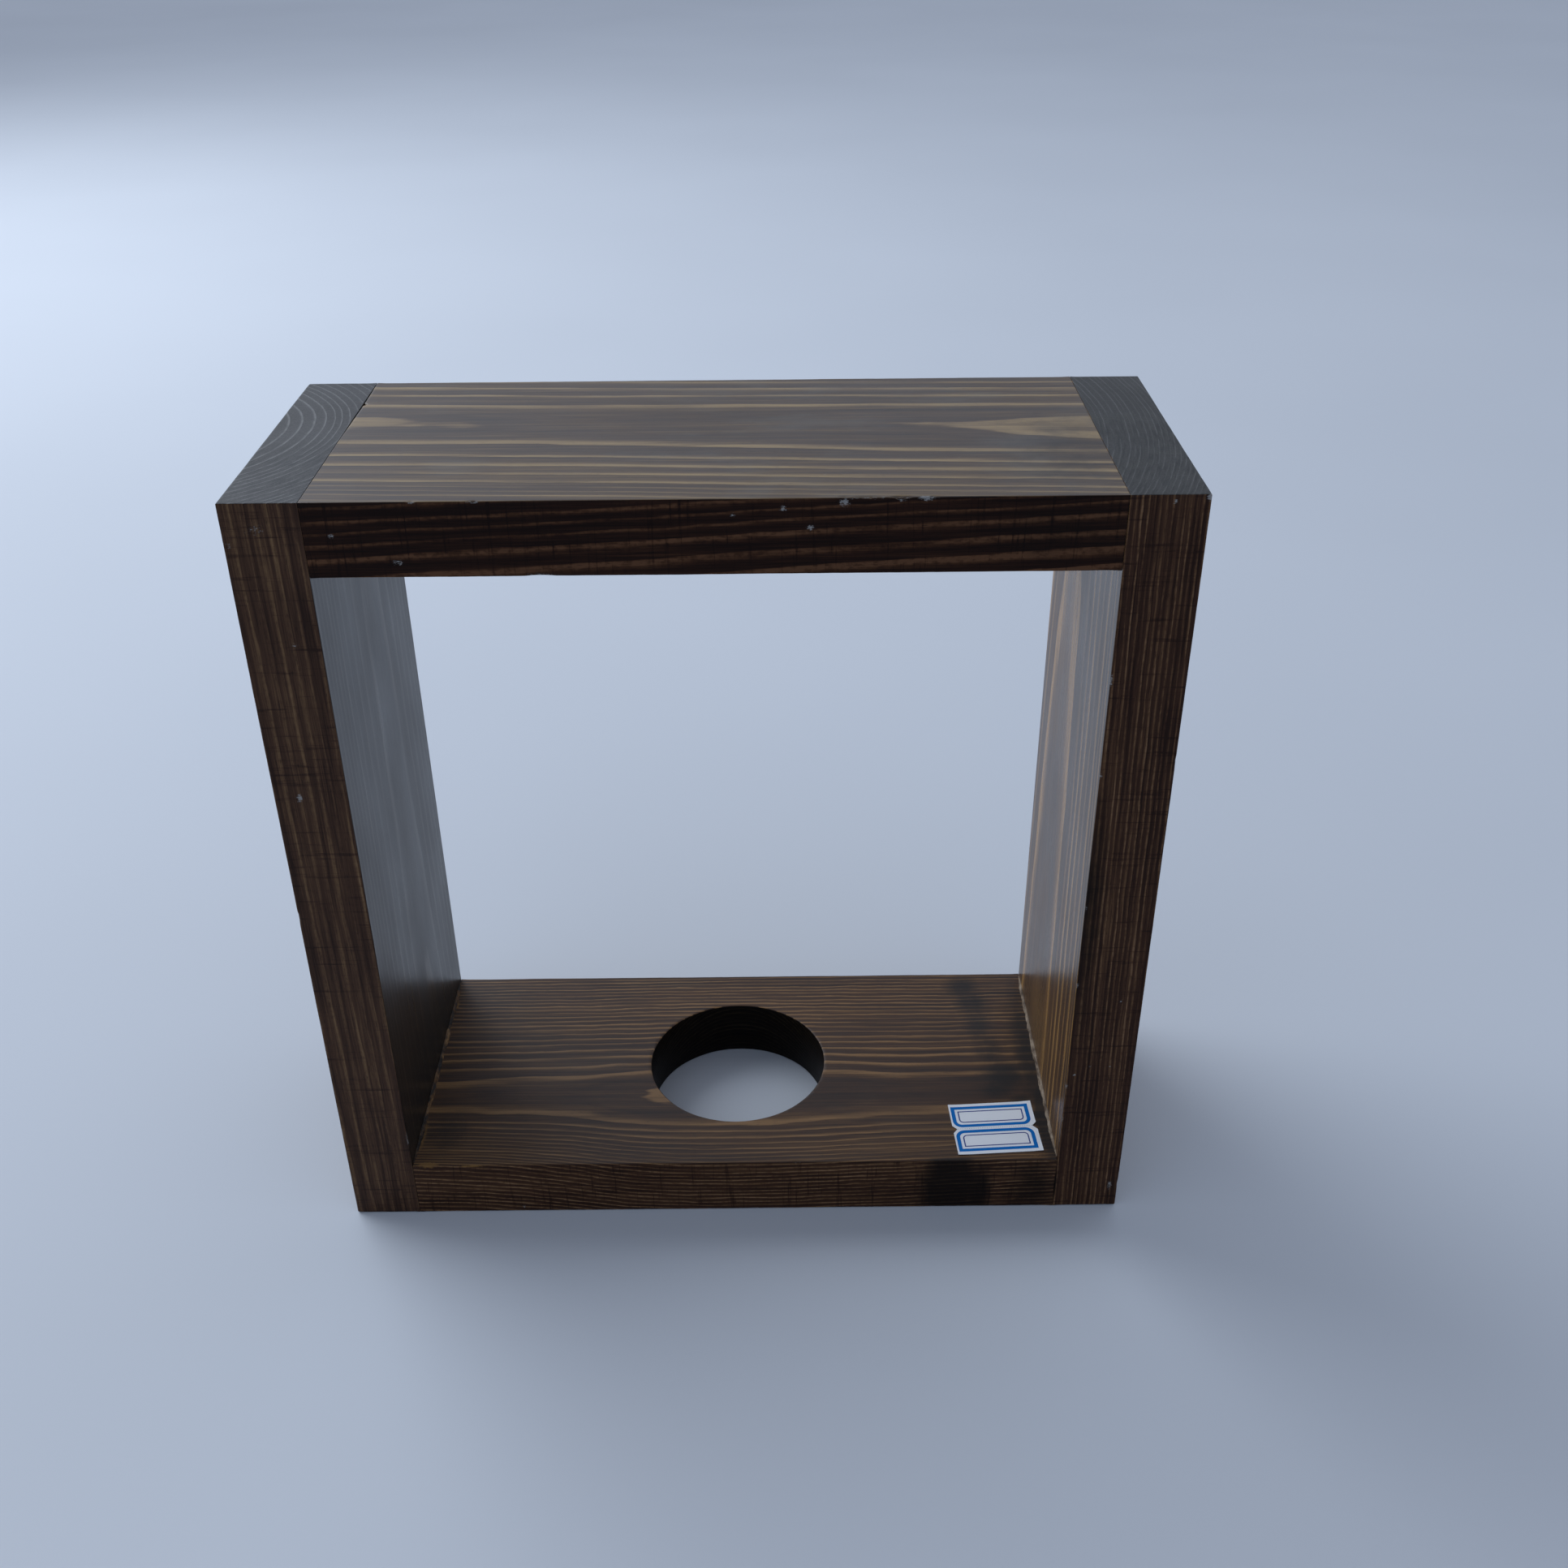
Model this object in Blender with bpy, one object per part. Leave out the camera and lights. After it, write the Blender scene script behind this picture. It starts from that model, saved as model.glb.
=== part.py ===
"""Open display frame in dark-stained softwood.

Four planed boards stand on edge as a square box that is open at the front and the back. The side
boards run the full height, so their end grain shows on top, and the upper and lower boards are
butted between them. Each corner is held by two fluted dowels and glue, with a fillet of squeezed-out
glue along the inner corner. A round hole goes through the lower board, and a small paper index
tab is stuck on that board.

Frame: X to the right, Y from front to back, +Z up. The origin is at the centre of the footprint, on
the surface that the frame stands on. All lengths are in metres.
"""

import math

import bmesh
import bpy
from mathutils import Vector

# Driving dimensions
WIDTH = 0.250  # outer size along X
HEIGHT = 0.248  # outer size along Z
DEPTH = 0.097  # width of every board, along Y
BOARD = 0.0206  # thickness of every board
ARRIS = 0.0004  # eased edges
GLUE_LINE = 0.0003  # gap between two boards at a joint
HOLE_R = 0.0300  # round hole in the lower board
HOLE_Y = 0.0011  # its centre is a little behind the middle
HOLE_SIDES = 96

DOWEL_R = 0.004
DOWEL_LENGTH = 0.030
DOWEL_CHAMFER = 0.0010
DOWEL_FLUTES = 14
FLUTE_DEPTH = 0.00025
DOWEL_SPACING = 0.052  # between the two dowels of one corner, along Y
DOWEL_IN_SIDE = 0.0118  # length that sits in the side board
BORE_R = 0.0043
BORE_SIDES = 28
BORE_END = 0.0005  # free length at each end of a bore

FILLET_LEG = 0.0015  # squeezed-out glue, measured along each board
FILLET_GAP = 0.0003
FILLET_STEPS = 5

TAB_SIZE = (0.0280, 0.0234)  # paper index tab, two framed halves
TAB_CENTRE = (0.0859, -0.0335)
TAB_TURN = math.radians(3.3)
TAB_THICK = 0.0002
TAB_GAP = 0.0003
NOTCH_DEPTH = 0.0015
NOTCH_HALF = 0.0017

INNER_X = WIDTH / 2 - BOARD  # inner face of a side board

# Colours as they look under the varnish, linear RGB
STAIN_SIDE = (0.030, 0.019, 0.013, 1.0)
STAIN_RAIL = (0.034, 0.021, 0.014, 1.0)
RAW_BEECH = (0.42, 0.28, 0.16, 1.0)
GLUE = (0.10, 0.055, 0.022, 1.0)
PAPER = (0.78, 0.80, 0.84, 1.0)


def clear_scene():
    for obj in list(bpy.data.objects):
        bpy.data.objects.remove(obj, do_unlink=True)


def new_collection(name):
    collection = bpy.data.collections.new(name)
    bpy.context.scene.collection.children.link(collection)
    return collection


def new_material(name, colour, roughness, metallic=0.0):
    material = bpy.data.materials.new(name)
    material.use_nodes = True
    shader = material.node_tree.nodes["Principled BSDF"]
    shader.inputs["Base Color"].default_value = colour
    shader.inputs["Roughness"].default_value = roughness
    shader.inputs["Metallic"].default_value = metallic
    material.diffuse_color = colour
    return material


def mesh_object(name, bm, collection, material=None, parent=None):
    mesh = bpy.data.meshes.new(name)
    bmesh.ops.recalc_face_normals(bm, faces=bm.faces)
    bm.to_mesh(mesh)
    bm.free()
    obj = bpy.data.objects.new(name, mesh)
    collection.objects.link(obj)
    if material is not None:
        mesh.materials.append(material)
    obj.parent = parent
    return obj


def add_board(name, size, centre, collection, material, parent, cutters):
    """A planed board with eased edges, drilled by every cutter that crosses it."""
    bm = bmesh.new()
    bmesh.ops.create_cube(bm, size=1.0)
    bmesh.ops.scale(bm, vec=Vector(size), verts=bm.verts)
    bmesh.ops.bevel(
        bm,
        geom=list(bm.edges),
        offset=ARRIS,
        offset_type="OFFSET",
        segments=1,
        profile=0.5,
        affect="EDGES",
    )
    obj = mesh_object(name, bm, collection, material, parent)
    obj.location = centre
    for cutter in cutters:
        cut = obj.modifiers.new("drill_" + cutter.name, "BOOLEAN")
        cut.operation = "DIFFERENCE"
        cut.solver = "EXACT"
        cut.object = cutter
    return obj


def add_bore_cutter(name, radius, sides, start, end, collection):
    """A round cutter from start to end."""
    start, end = Vector(start), Vector(end)
    bm = bmesh.new()
    bmesh.ops.create_cone(
        bm,
        cap_ends=True,
        segments=sides,
        radius1=radius,
        radius2=radius,
        depth=(end - start).length,
    )
    obj = mesh_object(name, bm, collection)
    obj.location = (start + end) / 2
    obj.rotation_mode = "QUATERNION"
    obj.rotation_quaternion = (end - start).to_track_quat("Z", "Y")
    obj.hide_render = True
    obj.display_type = "WIRE"
    return obj


def dowel_mesh():
    """A fluted dowel along Z with chamfered ends: rings of points, joined and capped."""
    half = DOWEL_LENGTH / 2
    tip = (DOWEL_R - 0.8 * DOWEL_CHAMFER) / DOWEL_R
    levels = (
        (-half, tip),
        (-half + DOWEL_CHAMFER, 1.0),
        (half - DOWEL_CHAMFER, 1.0),
        (half, tip),
    )
    count = 2 * DOWEL_FLUTES
    bm = bmesh.new()
    rings = []
    for z, scale in levels:
        ring = []
        for i in range(count):
            radius = scale * (DOWEL_R - FLUTE_DEPTH * (i % 2))
            angle = 2 * math.pi * i / count
            ring.append(
                bm.verts.new((radius * math.cos(angle), radius * math.sin(angle), z))
            )
        rings.append(ring)
    for low, high in zip(rings, rings[1:]):
        for i in range(count):
            j = (i + 1) % count
            bm.faces.new((low[i], low[j], high[j], high[i]))
    bm.faces.new(rings[0][::-1])
    bm.faces.new(rings[-1])
    bmesh.ops.recalc_face_normals(bm, faces=bm.faces)
    mesh = bpy.data.meshes.new("dowel")
    bm.to_mesh(mesh)
    bm.free()
    return mesh


def add_fillet(name, corner, side, up, collection, material, parent):
    """Squeezed-out glue along an inner corner: a hollow-faced fillet that runs from front to back.

    corner is the (x, z) of the inner corner, side points along X into the opening and up along Z."""
    curve = bpy.data.curves.new(name, "CURVE")
    curve.dimensions = "2D"
    curve.fill_mode = "BOTH"
    curve.extrude = DEPTH / 2 - 0.0015
    points = [(FILLET_GAP, FILLET_GAP)]
    for i in range(FILLET_STEPS + 1):
        # A quarter circle around the far corner of the square, so the free face is hollow.
        angle = math.pi / 2 * i / FILLET_STEPS
        u = FILLET_LEG * (1 - math.sin(angle)) + 0.00012 * math.sin(2 * angle)
        v = FILLET_LEG * (1 - math.cos(angle)) + 0.00012 * math.sin(2 * angle)
        points.append((FILLET_GAP + u, FILLET_GAP + v))
    spline = curve.splines.new("POLY")
    spline.points.add(len(points) - 1)
    for point, (u, v) in zip(spline.points, points):
        point.co = (u * side, v * up, 0.0, 1.0)
    spline.use_cyclic_u = True
    curve.materials.append(material)
    obj = bpy.data.objects.new(name, curve)
    collection.objects.link(obj)
    obj.parent = parent
    # The outline's own Z runs along the joint, and its Y stands up.
    obj.location = (corner[0], 0.0, corner[1])
    obj.rotation_euler = (math.pi / 2, 0.0, 0.0)
    return obj


def add_tab(name, collection, material, parent):
    """Paper index tab with a notch at each end of its fold line."""
    half_w, half_h = TAB_SIZE[0] / 2, TAB_SIZE[1] / 2
    right = [
        (half_w, -half_h),
        (half_w, -NOTCH_HALF),
        (half_w - NOTCH_DEPTH, 0.0),
        (half_w, NOTCH_HALF),
        (half_w, half_h),
    ]
    points = right + [(-x, -y) for x, y in right]
    curve = bpy.data.curves.new(name, "CURVE")
    curve.dimensions = "2D"
    curve.fill_mode = "BOTH"
    curve.extrude = TAB_THICK / 2
    spline = curve.splines.new("POLY")
    spline.points.add(len(points) - 1)
    for point, (x, y) in zip(spline.points, points):
        point.co = (x, y, 0.0, 1.0)
    spline.use_cyclic_u = True
    curve.materials.append(material)
    obj = bpy.data.objects.new(name, curve)
    collection.objects.link(obj)
    obj.parent = parent
    obj.location = (*TAB_CENTRE, BOARD + TAB_GAP + TAB_THICK / 2)
    obj.rotation_euler = (0.0, 0.0, TAB_TURN)
    return obj


def main():
    clear_scene()
    parts = new_collection("display_frame")
    cutters = new_collection("cutters")
    root = bpy.data.objects.new("frame_origin", None)
    parts.objects.link(root)

    side_wood = new_material("stained_side_wood", STAIN_SIDE, 0.34)
    rail_wood = new_material("stained_rail_wood", STAIN_RAIL, 0.32)
    dowel_wood = new_material("dowel_wood", RAW_BEECH, 0.65)
    glue = new_material("cured_glue", GLUE, 0.22)
    paper = new_material("tab_paper", PAPER, 0.55)

    # One dowel axis for each dowel: which side, which rail, front or back.
    rail_z = {"top": HEIGHT - BOARD / 2, "bottom": BOARD / 2}
    sides = {"left": -1, "right": 1}
    places = {"front": -DOWEL_SPACING / 2, "back": DOWEL_SPACING / 2}
    bores = {}
    for rail, z in rail_z.items():
        for side, s in sides.items():
            for place, y in places.items():
                outer = s * (INNER_X + DOWEL_IN_SIDE + BORE_END)
                inner = s * (INNER_X + DOWEL_IN_SIDE - DOWEL_LENGTH - BORE_END)
                bores[rail, side, place] = add_bore_cutter(
                    f"bore_{rail}_{side}_{place}",
                    BORE_R,
                    BORE_SIDES,
                    (inner, y, z),
                    (outer, y, z),
                    cutters,
                )
    hole = add_bore_cutter(
        "round_hole",
        HOLE_R,
        HOLE_SIDES,
        (0.0, HOLE_Y, -0.01),
        (0.0, HOLE_Y, BOARD + 0.01),
        cutters,
    )

    # Boards
    for side, s in sides.items():
        add_board(
            f"{side}_side_board",
            (BOARD, DEPTH, HEIGHT),
            (s * (WIDTH - BOARD) / 2, 0.0, HEIGHT / 2),
            parts,
            side_wood,
            root,
            [bores[key] for key in bores if key[1] == side],
        )
    rail_length = 2 * (INNER_X - GLUE_LINE)
    for rail, z in rail_z.items():
        add_board(
            f"{rail}_board",
            (rail_length, DEPTH, BOARD),
            (0.0, 0.0, z),
            parts,
            rail_wood,
            root,
            [bores[key] for key in bores if key[0] == rail]
            + ([hole] if rail == "bottom" else []),
        )

    # Dowels, two at each corner, all of one mesh
    shared = dowel_mesh()
    shared.materials.append(dowel_wood)
    for (rail, side, place), cutter in bores.items():
        dowel = bpy.data.objects.new(f"dowel_{rail}_{side}_{place}", shared)
        parts.objects.link(dowel)
        dowel.parent = root
        dowel.location = cutter.location
        dowel.rotation_mode = "QUATERNION"
        dowel.rotation_quaternion = cutter.rotation_quaternion

    # Glue squeezed out along the four inner corners
    for side, s in sides.items():
        corner_x = s * INNER_X
        add_fillet(
            f"glue_fillet_bottom_{side}",
            (corner_x, BOARD),
            -s,
            1,
            parts,
            glue,
            root,
        )
        add_fillet(
            f"glue_fillet_top_{side}",
            (corner_x, HEIGHT - BOARD),
            -s,
            -1,
            parts,
            glue,
            root,
        )

    add_tab("index_tab", parts, paper, root)


main()
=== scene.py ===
"""The looks of the open display frame: stained softwood boards with worn edges, cured glue, a paper tab."""

import math

import bmesh
import bpy
import numpy as np
from mathutils import Matrix, Vector, noise


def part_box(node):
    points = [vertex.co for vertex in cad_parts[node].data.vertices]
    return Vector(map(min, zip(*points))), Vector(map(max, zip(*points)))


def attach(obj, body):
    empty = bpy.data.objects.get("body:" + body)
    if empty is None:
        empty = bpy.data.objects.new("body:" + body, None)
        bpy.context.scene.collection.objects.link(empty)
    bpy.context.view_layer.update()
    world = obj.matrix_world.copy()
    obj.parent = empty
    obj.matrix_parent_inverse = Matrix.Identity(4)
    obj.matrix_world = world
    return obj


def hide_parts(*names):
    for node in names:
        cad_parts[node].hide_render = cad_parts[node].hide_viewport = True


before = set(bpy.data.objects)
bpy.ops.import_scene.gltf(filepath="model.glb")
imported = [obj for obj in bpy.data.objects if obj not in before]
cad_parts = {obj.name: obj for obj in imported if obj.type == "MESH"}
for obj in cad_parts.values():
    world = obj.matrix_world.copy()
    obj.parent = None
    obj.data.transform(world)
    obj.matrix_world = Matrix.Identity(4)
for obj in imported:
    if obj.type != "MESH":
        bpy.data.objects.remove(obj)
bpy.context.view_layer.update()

MM = 0.001
scene = bpy.context.scene
scene.view_settings.view_transform = "Standard"
scene.view_settings.look = "None"


# ---------------------------------------------------------------- camera

FOCAL_PX, PHOTO_PX = 1991.95, 1932.0
TURN = Vector((0.54856, -0.00452, -0.0091))  # rotation vector from level to the photo's aim

camera_data = bpy.data.cameras.new("camera")
camera_data.sensor_fit = "HORIZONTAL"
camera_data.sensor_width = 36.0
camera_data.lens = 36.0 * FOCAL_PX / PHOTO_PX
camera_data.clip_start = 0.01
camera = bpy.data.objects.new("camera", camera_data)
scene.collection.objects.link(camera)
level = Matrix(((1, 0, 0), (0, 0, -1), (0, 1, 0)))
aim = Matrix.Rotation(TURN.length, 3, TURN.normalized()) @ level
turn = aim.transposed() @ Matrix(((1, 0, 0), (0, -1, 0), (0, 0, -1)))
camera.matrix_world = (
    Matrix.Translation((0.016075, -0.43112, 0.39802)) @ turn.to_4x4()
)
scene.camera = camera


# ---------------------------------------------------------------- node helpers


class Graph:
    """Short ways to make the nodes of one material or world."""

    def __init__(self, owner):
        owner.use_nodes = True
        self.tree = owner.node_tree
        self.tree.nodes.clear()

    def node(self, kind, **settings):
        made = self.tree.nodes.new(kind)
        for key, value in settings.items():
            setattr(made, key, value)
        return made

    def put(self, socket, value):
        if isinstance(value, bpy.types.NodeSocket):
            self.tree.links.new(value, socket)
        elif hasattr(socket.default_value, "__len__") and not hasattr(value, "__len__"):
            socket.default_value = [value] * len(socket.default_value)
        elif hasattr(value, "__len__") and len(value) < len(socket.default_value):
            socket.default_value = (*value, 1.0)
        else:
            socket.default_value = value

    def math(self, operation, a, b=0.0, c=0.0, clamp=False):
        made = self.node("ShaderNodeMath", operation=operation, use_clamp=clamp)
        for socket, value in zip(made.inputs, (a, b, c)):
            self.put(socket, value)
        return made.outputs[0]

    def add(self, *values):
        total = values[0]
        for value in values[1:]:
            total = self.math("ADD", total, value)
        return total

    def mul(self, *values):
        total = values[0]
        for value in values[1:]:
            total = self.math("MULTIPLY", total, value)
        return total

    def step(self, value, start, end, low=0.0, high=1.0):
        made = self.node("ShaderNodeMapRange", interpolation_type="SMOOTHSTEP")
        for socket, v in zip(made.inputs, (value, start, end, low, high)):
            self.put(socket, v)
        return made.outputs[0]

    def linear(self, value, start, end, low=0.0, high=1.0):
        made = self.node("ShaderNodeMapRange", interpolation_type="LINEAR")
        for socket, v in zip(made.inputs, (value, start, end, low, high)):
            self.put(socket, v)
        return made.outputs[0]

    def join(self, x, y, z):
        made = self.node("ShaderNodeCombineXYZ")
        for socket, value in zip(made.inputs, (x, y, z)):
            self.put(socket, value)
        return made.outputs[0]

    def split(self, vector):
        made = self.node("ShaderNodeSeparateXYZ")
        self.put(made.inputs[0], vector)
        return made.outputs

    def noise(self, vector, scale=1.0, detail=2.0, rough=0.5, warp=0.0):
        made = self.node("ShaderNodeTexNoise")
        self.put(made.inputs["Vector"], vector)
        made.inputs["Scale"].default_value = scale
        made.inputs["Detail"].default_value = detail
        made.inputs["Roughness"].default_value = rough
        made.inputs["Distortion"].default_value = warp
        return made.outputs["Fac"]

    def random(self, value):
        made = self.node("ShaderNodeTexWhiteNoise", noise_dimensions="1D")
        self.put(made.inputs["W"], value)
        return made.outputs["Value"]

    def mix(self, factor, a, b, blend="MIX"):
        made = self.node("ShaderNodeMix", data_type="RGBA", blend_type=blend)
        made.clamp_factor = True
        self.put(made.inputs[0], factor)
        self.put(made.inputs[6], a)
        self.put(made.inputs[7], b)
        return made.outputs[2]

    def ramp(self, value, stops, interpolation="LINEAR"):
        made = self.node("ShaderNodeValToRGB")
        made.color_ramp.interpolation = interpolation
        elements = made.color_ramp.elements
        while len(elements) < len(stops):
            elements.new(0.5)
        for element, (place, colour) in zip(elements, stops):
            element.position = place
            element.color = (
                (*colour, 1.0) if hasattr(colour, "__len__") else (colour,) * 3 + (1.0,)
            )
        self.put(made.inputs[0], value)
        return made.outputs[0]

    def curve(self, value, points):
        """A curve of straight runs through points, each (in, out), both from 0 to 1."""
        made = self.node("ShaderNodeFloatCurve")
        line = made.mapping.curves[0]
        for i, (x, y) in enumerate(points):
            if i < 2:
                line.points[i].location = (x, y)
            else:
                line.points.new(x, y)
        for point in line.points:
            point.handle_type = "AUTO_CLAMPED"
        made.mapping.update()
        self.put(made.inputs["Value"], value)
        return made.outputs[0]

    def attribute(self, name):
        return self.node("ShaderNodeAttribute", attribute_name=name).outputs["Fac"]

    def bump(self, height, distance, strength=1.0, normal=None):
        made = self.node("ShaderNodeBump")
        made.inputs["Strength"].default_value = strength
        made.inputs["Distance"].default_value = distance
        self.put(made.inputs["Height"], height)
        if normal is not None:
            self.put(made.inputs["Normal"], normal)
        return made.outputs[0]

    def principled(self, **inputs):
        shader = self.node("ShaderNodeBsdfPrincipled")
        for key, value in inputs.items():
            self.put(shader.inputs[key.replace("_", " ")], value)
        output = self.node("ShaderNodeOutputMaterial")
        self.tree.links.new(shader.outputs[0], output.inputs[0])
        return shader


# ---------------------------------------------------------------- stained wood

SOOT = (0.0040, 0.0026, 0.0020)
DARK = (0.0220, 0.0102, 0.0056)
BROWN = (0.0570, 0.0285, 0.0138)
OCHRE = (0.1300, 0.0760, 0.0315)
TAN = (0.2800, 0.1840, 0.0860)


def stained_wood(name, grain, pith, lean, drift, rings, seed, place, flames=(), spread=(), ripple=0.3, ragged=0.08, film=0.08, ends=(1.0, 0.80, 8.0), base=0.16, front=0.0, lines=1.0, tone=(1, 1, 1), dull=0.0, gloss=0.5):
    """Stained softwood as a solid: growth rings around a pith line, cut by the faces of the board.

    The stain sinks into the soft early wood and darkens it, and the hard late wood stays a light line.
    pith is the ring centre across the grain in mm, lean its slope along the grain, drift the shift of the
    rings at places along the grain, flames a shift that only the innermost ring has, and rings the (radius
    in mm, strength) of the end of each year. spread is how much of the ring curve is left
    in front of the pith, at places along the grain, and ragged keeps flat-cut flames from a smooth outline.
    front is how much lighter the part in front of the pith is, ends is the tone of the end grain, the strength of its rings and where its sooty part starts.
    place is face, for planed faces and end grain, outer, for the outside of a side board, edge, for the sawn
    narrow edges, or bore."""
    material = bpy.data.materials.new(f"{name}_{place}")
    place = "face" if place == "outer" else place
    g = Graph(material)
    coordinates = g.node("ShaderNodeTexCoord")
    x, y, z = g.split(coordinates.outputs["Object"])
    x, y, z = (g.mul(v, 1000.0) for v in (x, y, z))
    along, a, b = (x, y, z) if grain == "X" else (z, x, y)

    def cells(across, length, shift=0.0):
        """Coordinates in cells that are across mm wide and length mm long."""
        return g.join(
            g.math("MULTIPLY_ADD", a, 1 / across, seed + shift),
            g.math("MULTIPLY_ADD", b, 1 / across, 0.37 * seed),
            g.math("MULTIPLY_ADD", along, 1 / length, 0.71 * seed - shift),
        )

    def shift_along(places, reach=4.0):
        """The amount in mm that places, each (along, amount), give along the grain."""
        lowest, highest = places[0][0], places[-1][0]
        made = g.curve(
            g.linear(along, lowest, highest),
            [((p - lowest) / (highest - lowest), 0.5 + s / (2 * reach)) for p, s in places],
        )
        return g.math("MULTIPLY_ADD", made, 2 * reach, -reach)

    # The rings
    shift = shift_along(drift)
    da = g.math("SUBTRACT", a, pith[0])
    db = g.math("SUBTRACT", b, pith[1])
    if grain == "X":
        da = g.add(da, g.mul(along, -lean))
        db = g.add(db, shift)
        if spread:
            da = g.mul(da, g.add(1.0, g.mul(g.math("SUBTRACT", shift_along(spread), 1.0), g.step(da, 3.0, -9.0))))
            # Past the first line in front of the pith the years are narrower.
            da = g.add(da, g.mul(g.math("MINIMUM", g.add(da, 12.5), 0.0), 0.70))
    else:
        da = g.add(da, shift)
        db = g.add(db, g.mul(along, -lean))
    radius = g.math("SQRT", g.add(g.mul(da, da), g.mul(db, db)))
    if flames:
        inmost = g.step(g.math("ABSOLUTE", da if grain == "X" else db), 15.0, 7.0)
        radius = g.add(radius, g.mul(shift_along(flames), inmost))
    slow = g.noise(cells(24.0, 80.0), detail=1.0)
    wave = g.noise(cells(7.0, 30.0, 3.1), detail=1.0)
    feather = g.noise(cells(1.1, 13.0, 7.7), detail=2.0, rough=0.6)
    hair = g.noise(cells(0.30, 5.0, 1.9), detail=2.0, rough=0.6)
    # Small waves follow how steeply this face cuts the rings, or they would tear flat-cut lines apart.
    across = da if (grain == "X") == (place != "edge") else db
    steep = g.math("DIVIDE", g.math("ABSOLUTE", across), radius)
    steep = g.math("MAXIMUM", g.math("MINIMUM", steep, 1.0), ragged if place == "face" else 0.08)
    fine = g.add(
        g.math("MULTIPLY_ADD", feather, 0.60, -0.30),
        g.math("MULTIPLY_ADD", hair, 0.30, -0.15),
        g.math("MULTIPLY_ADD", g.noise(cells(4.5, 13.0, 14.2), detail=1.0), 2 * ripple, -ripple),
    )
    radius = g.add(
        radius,
        g.math("MULTIPLY_ADD", slow, 0.9, -0.45),
        g.math("MULTIPLY_ADD", wave, 0.45, -0.225),
        g.mul(fine, steep),
    )
    count = len(rings) - 1
    first, last = rings[0][0], rings[-1][0]
    year = g.curve(
        g.linear(radius, first, last),
        [((r - first) / (last - first), i / count) for i, (r, _) in enumerate(rings)],
    )
    year = g.mul(year, float(count))
    number = g.math("FLOOR", year)
    part = g.math("FRACT", year)
    strength = g.curve(
        g.mul(g.add(number, 0.5), 1 / count),
        [((i + 0.5) / count, s) for i, (_, s) in enumerate(rings[1:])],
    )
    luck = g.random(g.add(number, 0.5 + seed))
    back = g.mul(
        g.math("SUBTRACT", 1.0, part), g.math("MULTIPLY_ADD", luck, 0.50, 0.86 if place == "edge" else 0.88)
    )
    line = g.ramp(
        g.math("SUBTRACT", 1.0, back, clamp=True),
        [(0.0, 0.08), (0.05, 0.0), (0.42, 0.04), (0.60, 0.34), (0.75, 0.93), (0.87, 1.0), (0.955, 0.72), (1.0, 0.08)]
        if place == "edge"
        else [(0.0, 0.05), (0.03, 0.0), (0.42, 0.03), (0.62, 0.24), (0.77, 0.84), (0.89, 1.0), (0.965, 0.85), (1.0, 0.05)],
    )
    # A line swells, fades and breaks along its run.
    run = g.noise(cells(3.2, 42.0, 6.3), detail=2.0, rough=0.55)
    late = g.mul(line, strength, g.step(run, 0.22, 0.62, 0.50, 1.12))
    if spread:
        late = g.mul(late, g.step(da, -2.0, -14.0, 1.0, 0.84))

    # Fibres
    fibre = g.noise(cells(0.22, 11.0, 5.3), detail=2.0, rough=0.6)
    strand = g.noise(cells(0.55, 30.0, 2.2), detail=2.0, rough=0.6)
    vein = g.noise(cells(1.25, 70.0, 10.4), detail=2.0, rough=0.6)
    band = g.noise(cells(2.6, 120.0, 8.8), detail=2.0, rough=0.55)
    growth = g.noise(
        g.join(g.mul(radius, 2.3), g.mul(along, 0.017), 0.53 * seed), detail=2.0, rough=0.6
    )
    pore = g.step(g.noise(cells(0.24, 2.6, 9.1), detail=1.0), 0.64, 0.78)
    cloud = g.noise(cells(20.0, 40.0, 4.4), detail=2.0)

    # Marks that the mesh carries
    pale, amber, stain_and_shade_blot = (g.attribute(n) for n in ("pale", "amber", "stain_and_shade_blot"))
    grit = g.noise(g.join(g.mul(x, 1.4), g.mul(y, 1.4), g.mul(z, 1.4)), detail=4.0)
    chip = g.noise(g.join(g.mul(x, 1.1), g.mul(y, 2.6), g.mul(z, 2.6)), detail=3.0, rough=0.7)
    pale = g.mul(g.step(g.add(pale, g.math("MULTIPLY_ADD", chip, 2.2, -1.1)), 0.34, 0.80), g.step(pale, 0.0, 0.2))
    amber = g.step(g.add(amber, g.math("MULTIPLY_ADD", grit, 0.8, -0.4)), 0.30, 0.75)
    soak = g.noise(g.join(g.mul(x, 0.17), g.mul(y, 0.17), g.mul(z, 0.17)), detail=4.0, rough=0.6)
    stain_and_shade_blot = g.mul(
        g.step(g.add(stain_and_shade_blot, g.math("MULTIPLY_ADD", soak, 0.7, -0.35)), 0.08, 1.0), g.step(stain_and_shade_blot, 0.0, 0.25)
    )

    if place == "edge":
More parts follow.
